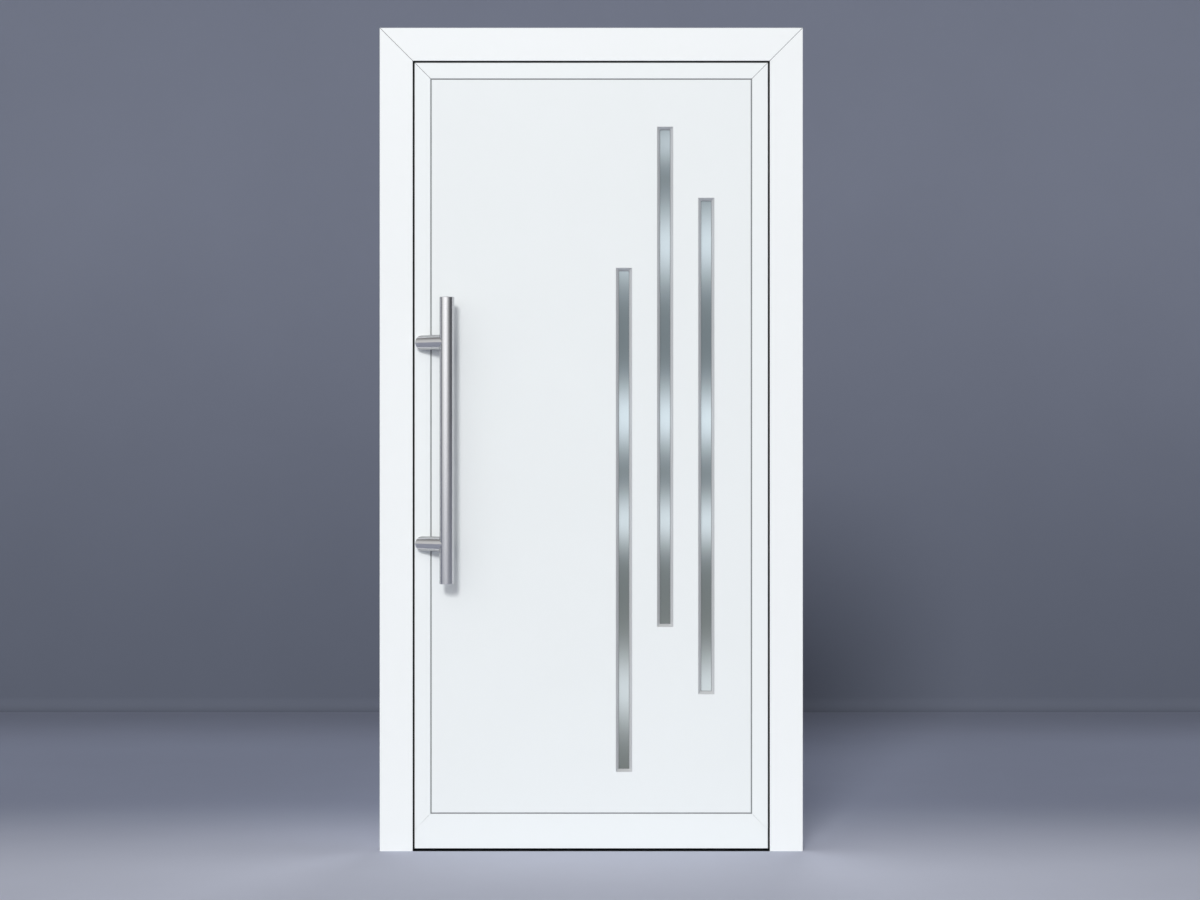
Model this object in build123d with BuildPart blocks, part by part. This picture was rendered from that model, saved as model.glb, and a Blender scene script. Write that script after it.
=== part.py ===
from build123d import *
import math
import os

# Front door: an aluminium entrance door with a flush panel, three narrow glass strips and a bar handle.
# Millimetres. X is to the right seen from outside, Y points indoors, Z is up.
# The origin is in the middle of the sill's underside, in the middle of the frame's depth.

# Outer frame
FRAME_WIDTH = 1100.0
FRAME_HEIGHT = 2140.0
DEPTH = 75.0
FRAME_FACE = 86.0
STOP_LIP = 20.0
STOP_LIP_TAPER = 2.5
FRAME_OUTER_SHELL = 22.0
FRAME_INNER_SHELL = 27.0
WALL = 2.0
MITRE_GAP = 0.4
SILL_THICKNESS = 2.0
STRIP_THICKNESS = 2.5
STRIP_INSET = 5.0
FIXING_HOLE = 8.0
FIXING_LINE = 61.0
FIXING_HOLES = 4
FIXING_HOLE_MARGIN = 200.0
PROFILE_EDGE = 1.0

# Door leaf
SHADOW_GAP = 5.0
FLOOR_GAP = 7.0
REBATE_GAP = 12.0
COVER_GAP = 5.5
STILE_FACE = 41.0
STILE_BOX = 25.0
BOTTOM_RAIL_HEIGHT = 90.0
LEAF_OUTER_SHELL = 30.0
LEAF_INNER_SHELL = 25.0
LIP_THICKNESS = 5.0
FLANGE_THICKNESS = 3.0
COVER_LIP_THICKNESS = 3.0
SEAL_WIDTH = 7.0
SEAL_INSET = 0.5
SEAL_CLEARANCE = 0.3
DROP_SEAL_HEIGHT = 30.0
DROP_SEAL_WALL = 1.5
DROP_SEAL_RUBBER = 8.0

# Panel in the leaf
PANEL_GROOVE = 3.0
GASKET_BACK = 1.0
GASKET_RECESS = 1.0
PANEL_PLAY = 3.0
SKIN = 2.0
FOLD_RADIUS = 1.5
BEAD_WIDTH = 20.0
BEAD_DEPTH = 21.0
BEAD_CHAMFER = 4.0

# Glass strips: the middle's distance from the leaf's hinge edge, the ends' from its bottom and top edges
GLASS_LEFT = (374.0, 199.0, 533.0)
GLASS_MIDDLE = (267.0, 576.0, 166.0)
GLASS_RIGHT = (160.0, 401.0, 351.0)
TRIM_WIDTH = 42.0
TRIM_BEVEL = 6.5
TRIM_EDGE = 0.5
TRIM_FLANGE = 5.5
TRIM_DEPTH = 10.0
TRIM_BEVEL_DEPTH = 8.0
TRIM_CLEARANCE = 0.25
GLASS_THICKNESS = 4.0
GLASS_INSET = 0.75
SPACER_WIDTH = 10.0

# Pull handle outside
BAR_DIAMETER = 38.0
BAR_WALL = 2.0
BAR_LENGTH = 740.0
BAR_CENTRE_HEIGHT = 1067.0
BAR_STANDOFF = 60.0
BAR_CAP = 3.0
BAR_CAP_CHAMFER = 1.0
SUPPORT_DIAMETER = 38.0
SUPPORT_POST = 15.0
SUPPORT_ABOVE_CENTRE = 254.0
SUPPORT_BELOW_CENTRE = 267.0
FOOT_INSET = 22.0
FOOT_TO_BAR = 65.0
COPE_CLEARANCE = 0.1

# Hinges inside
HINGE_BOTTOM_HEIGHT = 250.0
HINGE_MIDDLE_HEIGHT = 1070.0
HINGE_BELOW_TOP = 179.0
HINGE_AXIS_INSET = 3.0
HINGE_STANDOFF = 16.0
KNUCKLE_DIAMETER = 22.0
KNUCKLE_GAP = 0.5
HINGE_LENGTH = 110.0
HINGE_MIDDLE_KNUCKLE = 44.0
HINGE_PLATE = 4.5
HINGE_PLATE_OFFSET = 12.0
FRAME_PLATE_WIDTH = 46.0
LEAF_PLATE_WIDTH = 33.0
PIN_DIAMETER = 10.0
PIN_CLEARANCE = 0.05
PIN_HEAD = 3.0
PIN_HEAD_DIAMETER = 18.0

# Lock edge and inside lever
LOCK_PLATE = 2.5
FACEPLATE_WIDTH = 18.0
STRIKE_WIDTH = 17.0
LOCK_LINE = 59.0
FACEPLATE_BOTTOM = 250.0
FACEPLATE_BELOW_TOP = 229.0
HOOK_FROM_END = 80.0
HOOK_LENGTH = 60.0
DEADBOLT_BELOW_LEVER = 75.0
DEADBOLT_LENGTH = 40.0
LATCH_ABOVE_LEVER = 10.0
LATCH_LENGTH = 34.0
BOLT_WIDTH = 12.0
BOLT_CLEARANCE = 0.3
STRIKE_MARGIN = 25.0
LEVER_HEIGHT = 1050.0
CYLINDER_BELOW_LEVER = 92.0
ROSETTE_WIDTH = 30.0
ROSETTE_HEIGHT = 70.0
ROSETTE_THICKNESS = 8.0
LEVER_NECK = 16.0
LEVER_GRIP_HEIGHT = 22.0
LEVER_GRIP_THICKNESS = 10.0
LEVER_STANDOFF = 50.0
LEVER_LENGTH = 130.0
THUMB_TURN_DIAMETER = 17.0
THUMB_TURN_STEM = 10.0
THUMB_TURN_WIDTH = 26.0
THUMB_TURN_HEIGHT = 16.0
THUMB_TURN_THICKNESS = 7.0

# Worked out from the sizes above. Depths are measured from the outside face.
OUTSIDE_Y = -DEPTH / 2
INSIDE_Y = DEPTH / 2
FRAME_REBATE = FRAME_FACE - STOP_LIP
REBATE_X = FRAME_WIDTH / 2 - FRAME_REBATE
FRAME_SHELL_BACK = DEPTH - FRAME_INNER_SHELL
LEAF_X = FRAME_WIDTH / 2 - FRAME_FACE - SHADOW_GAP
LEAF_TOP = FRAME_HEIGHT - FRAME_FACE - SHADOW_GAP
LEAF_BOTTOM = FLOOR_GAP
LEAF_REBATE_X = REBATE_X - REBATE_GAP
FLANGE = LEAF_REBATE_X - LEAF_X
COVER_LIP = REBATE_X - COVER_GAP - LEAF_X
FLANGE_FRONT = LEAF_OUTER_SHELL - FLANGE_THICKNESS
LEAF_SHELL_BACK = DEPTH - LEAF_INNER_SHELL
SEAL_THICKNESS = FLANGE_FRONT - FRAME_OUTER_SHELL - SEAL_CLEARANCE
SIGHT_X = LEAF_X - STILE_FACE
SIGHT_TOP = LEAF_TOP - STILE_FACE
SIGHT_BOTTOM = LEAF_BOTTOM + BOTTOM_RAIL_HEIGHT
POCKET_X = LEAF_X - STILE_BOX
POCKET_TOP = LEAF_TOP - STILE_BOX
POCKET_BOTTOM = SIGHT_BOTTOM - (STILE_FACE - STILE_BOX)
PAN_FLANGE_FRONT = LIP_THICKNESS + GASKET_BACK
PANEL_BACK = DEPTH - BEAD_DEPTH
FIXING_HOLE_STEP = (FRAME_HEIGHT - 2 * FIXING_HOLE_MARGIN) / (FIXING_HOLES - 1)
FIXING_HOLE_HEIGHTS = [FIXING_HOLE_MARGIN + hole * FIXING_HOLE_STEP for hole in range(FIXING_HOLES)]
# Middle, lower and upper end of each glass strip
GLASS_STRIPS = {}
for strip, (side, bottom, top) in {"left": GLASS_LEFT, "middle": GLASS_MIDDLE, "right": GLASS_RIGHT}.items():
    GLASS_STRIPS[strip] = (LEAF_X - side, LEAF_BOTTOM + bottom, LEAF_TOP - top)
SLOT_WIDTH = TRIM_WIDTH + 2 * TRIM_CLEARANCE
UNIT_WIDTH = TRIM_WIDTH + 2 * TRIM_FLANGE
CAVITY_WIDTH = UNIT_WIDTH + 2 * GLASS_INSET
SIGHT_WIDTH = TRIM_WIDTH - 2 * (TRIM_BEVEL + TRIM_EDGE)
BEVEL_ANGLE = math.degrees(math.atan(TRIM_BEVEL / TRIM_BEVEL_DEPTH))
STILE_MIDDLE_X = (LEAF_REBATE_X + POCKET_X) / 2
CYLINDER_HEIGHT = LEVER_HEIGHT - CYLINDER_BELOW_LEVER
FACEPLATE_TOP = LEAF_TOP - FACEPLATE_BELOW_TOP
# Height of the middle and length of each bolt
LOCK_POINTS = {
    "hook_low": (FACEPLATE_BOTTOM + HOOK_FROM_END, HOOK_LENGTH),
    "deadbolt": (LEVER_HEIGHT - DEADBOLT_BELOW_LEVER, DEADBOLT_LENGTH),
    "latch": (LEVER_HEIGHT + LATCH_ABOVE_LEVER, LATCH_LENGTH),
    "hook_high": (FACEPLATE_TOP - HOOK_FROM_END, HOOK_LENGTH),
}
HINGE_HEIGHTS = {
    "bottom": HINGE_BOTTOM_HEIGHT,
    "middle": HINGE_MIDDLE_HEIGHT,
    "top": LEAF_TOP - HINGE_BELOW_TOP,
}
HINGE_X = REBATE_X - HINGE_AXIS_INSET
HINGE_Y = INSIDE_Y + HINGE_STANDOFF
KNUCKLE_RADIUS = KNUCKLE_DIAMETER / 2
FOOT_X = -(LEAF_X - FOOT_INSET)
BAR_X = FOOT_X + FOOT_TO_BAR
BAR_Y = OUTSIDE_Y - BAR_STANDOFF
SUPPORT_HEIGHTS = {
    "upper": BAR_CENTRE_HEIGHT + SUPPORT_ABOVE_CENTRE,
    "lower": BAR_CENTRE_HEIGHT - SUPPORT_BELOW_CENTRE,
}


def area(left, right, low, high, mode=Mode.ADD):
    """A rectangle of the current sketch, between two values on each of its axes."""
    with Locations(((left + right) / 2, (low + high) / 2)):
        Rectangle(right - left, high - low, mode=mode)


def tube(left, right, low, high, mode=Mode.ADD):
    """A box chamber of a drawn profile with its walls."""
    area(left, right, low, high, mode)
    area(left + WALL, right - WALL, low + WALL, high - WALL, Mode.SUBTRACT)


def facing(depth):
    """A plane parallel to the door, at a depth behind its outside face; extrusions on it run outwards."""
    return Plane.XZ.offset(-OUTSIDE_Y - depth)


def side_plane(x):
    """A plane across the door's width at x, with depth along its X and height measured upwards."""
    return Plane(origin=(x, OUTSIDE_Y, 0), x_dir=(0, 1, 0), z_dir=(1, 0, 0))


def jamb_plane():
    """The frame profile's plane at the floor: from the wall inwards, and from the outside face inwards."""
    return Plane(origin=(-FRAME_WIDTH / 2, OUTSIDE_Y, 0), x_dir=(1, 0, 0), z_dir=(0, 0, 1))


def head_plane():
    """The frame profile's plane at the left end of the head, with the wall side on top."""
    return Plane(origin=(-FRAME_WIDTH / 2, OUTSIDE_Y, FRAME_HEIGHT), x_dir=(0, 0, -1), z_dir=(1, 0, 0))


def stile_plane():
    """The leaf profile's plane at the floor, from the leaf's visible edge inwards."""
    return Plane(origin=(-LEAF_X, OUTSIDE_Y, 0), x_dir=(1, 0, 0), z_dir=(0, 0, 1))


def rail_plane():
    """The leaf profile's plane at the left end of the top rail, from its top edge down."""
    start = -LEAF_X - COVER_LIP
    return Plane(origin=(start, OUTSIDE_Y, LEAF_TOP), x_dir=(0, 0, -1), z_dir=(1, 0, 0))


def draw_frame_profile():
    """Two aluminium shells of the outer frame: the outer one with its stop lip, the inner one behind it."""
    lip_back = FRAME_FACE - STOP_LIP_TAPER
    Polygon((0, 0), (FRAME_FACE, 0), (lip_back, FRAME_OUTER_SHELL), (0, FRAME_OUTER_SHELL), align=None)
    area(WALL, FRAME_REBATE - WALL, WALL, FRAME_OUTER_SHELL - WALL, Mode.SUBTRACT)
    area(FRAME_REBATE, lip_back - WALL, WALL, FRAME_OUTER_SHELL - WALL, Mode.SUBTRACT)
    tube(0, FRAME_REBATE, FRAME_SHELL_BACK, DEPTH)


def draw_leaf_profile():
    """Two aluminium shells of the leaf: box chambers, rebate flange, panel lip and inside cover lip."""
    area(-FLANGE, 0, FLANGE_FRONT, LEAF_OUTER_SHELL)
    area(0, STILE_FACE, 0, LIP_THICKNESS)
    tube(0, STILE_BOX, 0, LEAF_OUTER_SHELL)
    area(-COVER_LIP, -FLANGE, DEPTH - COVER_LIP_THICKNESS, DEPTH)
    tube(-FLANGE, STILE_BOX, LEAF_SHELL_BACK, DEPTH)


def break_edges(edges):
    """Break the edges of the current part that lie in its outside face and in its inside face."""
    levels = edges.group_by(Axis.Y)
    chamfer(levels[0] + levels[-1], PROFILE_EDGE)


def mitre(x, z, normal_x, normal_z):
    """Cut the current part on a slanting plane through x, z, keeping what the normal points to."""
    normal = Vector(normal_x, 0, normal_z).normalized()
    split(bisect_by=Plane(origin=Vector(x, 0, z) + normal * MITRE_GAP / 2, z_dir=normal), keep=Keep.TOP)


def write(part, name):
    """Label a finished piece and write its file."""
    part.label = name
    export_step(part, f"parts/{name}.step")


os.makedirs("parts", exist_ok=True)

# Frame jambs: hollow, mitred into the head, with fixing holes through the inner shell
with BuildPart() as frame_jamb_lock:
    with BuildSketch(jamb_plane()):
        draw_frame_profile()
    extrude(amount=FRAME_HEIGHT)
    break_edges(frame_jamb_lock.edges().filter_by(Axis.Z))
    mitre(-FRAME_WIDTH / 2, FRAME_HEIGHT, -1, -1)
    with BuildSketch(side_plane(-FRAME_WIDTH / 2)):
        with Locations(*[(FIXING_LINE, height) for height in FIXING_HOLE_HEIGHTS]):
            Circle(FIXING_HOLE / 2)
    extrude(amount=FRAME_REBATE, mode=Mode.SUBTRACT)
write(frame_jamb_lock.part, "frame_jamb_lock")

with BuildPart() as frame_jamb_hinge:
    mirror(frame_jamb_lock.part, about=Plane.YZ)
write(frame_jamb_hinge.part, "frame_jamb_hinge")

with BuildPart() as frame_head:
    with BuildSketch(head_plane()):
        draw_frame_profile()
    extrude(amount=FRAME_WIDTH)
    break_edges(frame_head.edges().filter_by(Axis.X))
    mitre(-FRAME_WIDTH / 2, FRAME_HEIGHT, 1, 1)
    mitre(FRAME_WIDTH / 2, FRAME_HEIGHT, -1, 1)
write(frame_head.part, "frame_head")

# Polyamide strips that join the two frame shells, cut at the corners like them
with BuildPart() as frame_strips_jamb:
    with BuildSketch(jamb_plane()):
        for inset in (STRIP_INSET, FRAME_REBATE - STRIP_INSET - STRIP_THICKNESS):
            area(inset, inset + STRIP_THICKNESS, FRAME_OUTER_SHELL, FRAME_SHELL_BACK)
    extrude(amount=FRAME_HEIGHT)
    mitre(-FRAME_WIDTH / 2, FRAME_HEIGHT, -1, -1)

with BuildPart() as frame_strips_head:
    with BuildSketch(head_plane()):
        for inset in (STRIP_INSET, FRAME_REBATE - STRIP_INSET - STRIP_THICKNESS):
            area(inset, inset + STRIP_THICKNESS, FRAME_OUTER_SHELL, FRAME_SHELL_BACK)
    extrude(amount=FRAME_WIDTH)
    mitre(-FRAME_WIDTH / 2, FRAME_HEIGHT, 1, 1)
    mitre(FRAME_WIDTH / 2, FRAME_HEIGHT, -1, 1)

with BuildPart() as frame_thermal_breaks:
    add(frame_strips_jamb.part)
    mirror(frame_strips_jamb.part, about=Plane.YZ)
    add(frame_strips_head.part)
write(frame_thermal_breaks.part, "frame_thermal_breaks")

# Rubber seal behind the stop lip, in three lengths, which the leaf's flange closes on
seal_start = FRAME_FACE - STOP_LIP_TAPER - SEAL_INSET - SEAL_WIDTH
with BuildPart() as frame_seal_jamb:
    with BuildSketch(jamb_plane()):
        area(seal_start, seal_start + SEAL_WIDTH, FRAME_OUTER_SHELL, FRAME_OUTER_SHELL + SEAL_THICKNESS)
    extrude(amount=FRAME_HEIGHT)
    chamfer(frame_seal_jamb.edges().filter_by(Axis.Z).group_by(Axis.Y)[-1], SEAL_THICKNESS / 3)
    mitre(-FRAME_WIDTH / 2, FRAME_HEIGHT, -1, -1)
    split(bisect_by=Plane.XY.offset(SILL_THICKNESS), keep=Keep.TOP)

with BuildPart() as frame_seal_head:
    with BuildSketch(head_plane()):
        area(seal_start, seal_start + SEAL_WIDTH, FRAME_OUTER_SHELL, FRAME_OUTER_SHELL + SEAL_THICKNESS)
    extrude(amount=FRAME_WIDTH)
    chamfer(frame_seal_head.edges().filter_by(Axis.X).group_by(Axis.Y)[-1], SEAL_THICKNESS / 3)
    mitre(-FRAME_WIDTH / 2, FRAME_HEIGHT, 1, 1)
    mitre(FRAME_WIDTH / 2, FRAME_HEIGHT, -1, 1)

with BuildPart() as frame_seal:
    add(frame_seal_jamb.part)
    mirror(frame_seal_jamb.part, about=Plane.YZ)
    add(frame_seal_head.part)
write(frame_seal.part, "frame_seal")

# Flush threshold between the jambs, let in round their stop lips
with BuildPart() as threshold:
    with BuildSketch(Plane.XY):
        lip_x = FRAME_WIDTH / 2 - FRAME_FACE
        area(-lip_x, lip_x, OUTSIDE_Y, OUTSIDE_Y + FRAME_OUTER_SHELL)
        area(-REBATE_X, REBATE_X, OUTSIDE_Y + FRAME_OUTER_SHELL, INSIDE_Y)
    extrude(amount=SILL_THICKNESS)
write(threshold.part, "threshold")

# Strike plates on the lock jamb's rebate face, one for each locking point
with BuildPart() as strike_plates:
    with BuildSketch(side_plane(-REBATE_X)):
        for height, length in LOCK_POINTS.values():
            with Locations((LOCK_LINE, height)):
                Rectangle(STRIKE_WIDTH, length + 2 * STRIKE_MARGIN)
                Rectangle(BOLT_WIDTH + 2 * WALL, length + 2 * WALL, mode=Mode.SUBTRACT)
    extrude(amount=LOCK_PLATE)
write(strike_plates.part, "strike_plates")

# Leaf stiles: hollow, mitred above and across the stile's width below
with BuildPart() as leaf_stile_lock:
    with BuildSketch(stile_plane()):
        draw_leaf_profile()
    extrude(amount=LEAF_TOP + COVER_LIP)
    break_edges(leaf_stile_lock.edges().filter_by(Axis.Z))
    mitre(-LEAF_X, LEAF_TOP, -1, -1)
    mitre(-SIGHT_X, SIGHT_BOTTOM, -1, 1)
write(leaf_stile_lock.part, "leaf_stile_lock")

with BuildPart() as leaf_stile_hinge:
    mirror(leaf_stile_lock.part, about=Plane.YZ)
write(leaf_stile_hinge.part, "leaf_stile_hinge")

with BuildPart() as leaf_rail_top:
    with BuildSketch(rail_plane()):
        draw_leaf_profile()
    extrude(amount=2 * (LEAF_X + COVER_LIP))
    break_edges(leaf_rail_top.edges().filter_by(Axis.X))
    mitre(-LEAF_X, LEAF_TOP, 1, 1)
    mitre(LEAF_X, LEAF_TOP, -1, 1)
write(leaf_rail_top.part, "leaf_rail_top")

# Bottom rail: the same depths as the stiles, closed at both ends, mitred under the stiles
with BuildPart() as leaf_rail_bottom:
    with BuildSketch(Plane.XY.offset(LEAF_BOTTOM)):
        area(-LEAF_X, LEAF_X, OUTSIDE_Y, OUTSIDE_Y + LEAF_OUTER_SHELL)
        area(-LEAF_REBATE_X, LEAF_REBATE_X, OUTSIDE_Y + FLANGE_FRONT, OUTSIDE_Y + LEAF_OUTER_SHELL)
        area(-LEAF_REBATE_X, LEAF_REBATE_X, OUTSIDE_Y + LEAF_SHELL_BACK, INSIDE_Y)
        area(-LEAF_X - COVER_LIP, LEAF_X + COVER_LIP, INSIDE_Y - COVER_LIP_THICKNESS, INSIDE_Y)
    extrude(amount=POCKET_BOTTOM - LEAF_BOTTOM)
    with BuildSketch(facing(LIP_THICKNESS)):
        area(-LEAF_X, LEAF_X, POCKET_BOTTOM, SIGHT_BOTTOM)
    extrude(amount=LIP_THICKNESS)
    with BuildSketch(Plane.XY.offset(LEAF_BOTTOM + WALL)):
        chamber_x = LEAF_X - WALL
        area(-chamber_x, chamber_x, OUTSIDE_Y + WALL, OUTSIDE_Y + LEAF_OUTER_SHELL - WALL)
        chamber_x = LEAF_REBATE_X - WALL
        area(-chamber_x, chamber_x, OUTSIDE_Y + LEAF_SHELL_BACK + WALL, INSIDE_Y - WALL)
    extrude(amount=POCKET_BOTTOM - LEAF_BOTTOM - 2 * WALL, mode=Mode.SUBTRACT)
    break_edges(leaf_rail_bottom.edges().filter_by(Axis.Y, reverse=True))
    mitre(-SIGHT_X, SIGHT_BOTTOM, 1, -1)
    mitre(SIGHT_X, SIGHT_BOTTOM, -1, -1)
write(leaf_rail_bottom.part, "leaf_rail_bottom")

# Polyamide strips that join the two leaf shells, in straight lengths that stop short of each other
rebate_strip = LEAF_REBATE_X - STRIP_INSET
rebate_strip_top = LEAF_TOP + FLANGE - STRIP_INSET
rebate_strip_bottom = LEAF_BOTTOM + DROP_SEAL_HEIGHT
pocket_strip = POCKET_X + STRIP_INSET
pocket_strip_top = POCKET_TOP + STRIP_INSET
pocket_strip_bottom = POCKET_BOTTOM - STRIP_INSET
with BuildPart() as leaf_thermal_breaks:
    with BuildSketch(facing(LEAF_SHELL_BACK)):
        for side in (-1, 1):
            for edge, inwards, low, high in (
                (rebate_strip, -1, rebate_strip_bottom, rebate_strip_top),
                (pocket_strip, 1, pocket_strip_bottom, pocket_strip_top),
            ):
                left, right = sorted((side * edge, side * (edge + inwards * STRIP_THICKNESS)))
                area(left, right, low, high)
        long_x = rebate_strip - STRIP_THICKNESS - MITRE_GAP
        area(-long_x, long_x, rebate_strip_top - STRIP_THICKNESS, rebate_strip_top)
        area(-long_x, long_x, rebate_strip_bottom, rebate_strip_bottom + STRIP_THICKNESS)
        short_x = pocket_strip - MITRE_GAP
        area(-short_x, short_x, pocket_strip_top, pocket_strip_top + STRIP_THICKNESS)
        area(-short_x, short_x, pocket_strip_bottom - STRIP_THICKNESS, pocket_strip_bottom)
    extrude(amount=LEAF_SHELL_BACK - LEAF_OUTER_SHELL)
write(leaf_thermal_breaks.part, "leaf_thermal_breaks")

# Drop seal between the shells of the bottom rail: a channel open below, with its rubber drawn up
with BuildPart() as drop_seal:
    with BuildSketch(side_plane(-LEAF_REBATE_X)):
        area(LEAF_OUTER_SHELL, LEAF_SHELL_BACK, LEAF_BOTTOM, LEAF_BOTTOM + DROP_SEAL_HEIGHT)
        channel_top = LEAF_BOTTOM + DROP_SEAL_HEIGHT - DROP_SEAL_WALL
        channel_front = LEAF_OUTER_SHELL + DROP_SEAL_WALL
        channel_back = LEAF_SHELL_BACK - DROP_SEAL_WALL
        area(channel_front, channel_back, LEAF_BOTTOM, channel_top, Mode.SUBTRACT)
        rubber_middle = (channel_front + channel_back) / 2
        rubber = DROP_SEAL_RUBBER / 2
        area(rubber_middle - rubber, rubber_middle + rubber, LEAF_BOTTOM + WALL, channel_top)
    extrude(amount=2 * LEAF_REBATE_X)
write(drop_seal.part, "drop_seal")

# Outer skin of the panel: flush with the stiles, with its rim folded back under their lips
pan_x = SIGHT_X - PANEL_GROOVE
pan_top = SIGHT_TOP - PANEL_GROOVE
pan_bottom = SIGHT_BOTTOM + PANEL_GROOVE
panel_x = POCKET_X - PANEL_PLAY
panel_top = POCKET_TOP - PANEL_PLAY
panel_bottom = POCKET_BOTTOM + PANEL_PLAY
pan_flange_back = PAN_FLANGE_FRONT + SKIN

with BuildPart() as panel_outer_skin:
    with BuildSketch(facing(pan_flange_back)):
        area(-panel_x, panel_x, panel_bottom, panel_top)
    extrude(amount=SKIN)
    with BuildSketch(facing(PAN_FLANGE_FRONT)):
        area(-pan_x, pan_x, pan_bottom, pan_top)
    extrude(amount=PAN_FLANGE_FRONT)
    fillet(panel_outer_skin.edges().group_by(Axis.Y)[0], FOLD_RADIUS)
    with BuildSketch(facing(pan_flange_back)):
        area(-pan_x + SKIN, pan_x - SKIN, pan_bottom + SKIN, pan_top - SKIN)
    extrude(amount=pan_flange_back - SKIN, mode=Mode.SUBTRACT)
    with BuildSketch(facing(SKIN)):
        for middle, low, high in GLASS_STRIPS.values():
            slot_low = low - TRIM_CLEARANCE
            slot_high = high + TRIM_CLEARANCE
            area(middle - SLOT_WIDTH / 2, middle + SLOT_WIDTH / 2, slot_low, slot_high)
    extrude(amount=SKIN, mode=Mode.SUBTRACT)
write(panel_outer_skin.part, "panel_outer_skin")

# Insulating core, stepped behind the folded rim, with a cavity round each glass unit
with BuildPart() as panel_core:
    with BuildSketch(facing(PANEL_BACK - SKIN)):
        area(-panel_x, panel_x, panel_bottom, panel_top)
    extrude(amount=PANEL_BACK - SKIN - pan_flange_back)
    with BuildSketch(facing(pan_flange_back)):
        area(-pan_x + SKIN, pan_x - SKIN, pan_bottom + SKIN, pan_top - SKIN)
    extrude(amount=pan_flange_back - SKIN)
    with BuildSketch(facing(PANEL_BACK - SKIN)):
        for middle, low, high in GLASS_STRIPS.values():
            reach = TRIM_FLANGE + GLASS_INSET
            area(middle - CAVITY_WIDTH / 2, middle + CAVITY_WIDTH / 2, low - reach, high + reach)
    extrude(amount=PANEL_BACK - 2 * SKIN, mode=Mode.SUBTRACT)
write(panel_core.part, "panel_core")

with BuildPart() as panel_inner_skin:
    with BuildSketch(facing(PANEL_BACK)):
        area(-panel_x, panel_x, panel_bottom, panel_top)
        for middle, low, high in GLASS_STRIPS.values():
            slot_low = low - TRIM_CLEARANCE
            slot_high = high + TRIM_CLEARANCE
            area(middle - SLOT_WIDTH / 2, middle + SLOT_WIDTH / 2, slot_low, slot_high, Mode.SUBTRACT)
    extrude(amount=SKIN)
write(panel_inner_skin.part, "panel_inner_skin")

# Grey gasket in the groove round the panel: its back is clamped between the lips and the rim
with BuildPart() as panel_gasket:
    with BuildSketch(facing(PAN_FLANGE_FRONT)):
        area(-panel_x, panel_x, panel_bottom, panel_top)
        area(-pan_x, pan_x, pan_bottom, pan_top, Mode.SUBTRACT)
    extrude(amount=GASKET_BACK)
    with BuildSketch(facing(LIP_THICKNESS)):
        area(-SIGHT_X, SIGHT_X, SIGHT_BOTTOM, SIGHT_TOP)
        area(-pan_x, pan_x, pan_bottom, pan_top, Mode.SUBTRACT)
    extrude(amount=LIP_THICKNESS - GASKET_RECESS)
write(panel_gasket.part, "panel_gasket")


def bead_profile():
    """The glazing bead's section: across the panel's edge and back from the panel, one corner chamfered."""
    Polygon(
        (0, PANEL_BACK),
        (BEAD_WIDTH, PANEL_BACK),
        (BEAD_WIDTH, DEPTH - BEAD_CHAMFER),
        (BEAD_WIDTH - BEAD_CHAMFER, DEPTH),
        (0, DEPTH),
        align=None,
    )
    area(WALL, BEAD_WIDTH - BEAD_CHAMFER, PANEL_BACK + WALL, DEPTH - WALL, Mode.SUBTRACT)


# Glazing beads that hold the panel from inside: the uprights run the full height
with BuildPart() as glazing_bead_lock:
    with BuildSketch(Plane(origin=(-POCKET_X, OUTSIDE_Y, POCKET_BOTTOM), x_dir=(1, 0, 0), z_dir=(0, 0, 1))):
        bead_profile()
    extrude(amount=POCKET_TOP - POCKET_BOTTOM)
write(glazing_bead_lock.part, "glazing_bead_lock")

with BuildPart() as glazing_bead_hinge:
    mirror(glazing_bead_lock.part, about=Plane.YZ)
write(glazing_bead_hinge.part, "glazing_bead_hinge")

bead_start = -POCKET_X + BEAD_WIDTH
with BuildPart() as glazing_bead_top:
    with BuildSketch(Plane(origin=(bead_start, OUTSIDE_Y, POCKET_TOP), x_dir=(0, 0, -1), z_dir=(1, 0, 0))):
        bead_profile()
    extrude(amount=-2 * bead_start)
write(glazing_bead_top.part, "glazing_bead_top")

with BuildPart() as glazing_bead_bottom:
    mirror(glazing_bead_top.part, about=Plane.XY.offset((POCKET_TOP + POCKET_BOTTOM) / 2))
write(glazing_bead_bottom.part, "glazing_bead_bottom")

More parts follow.
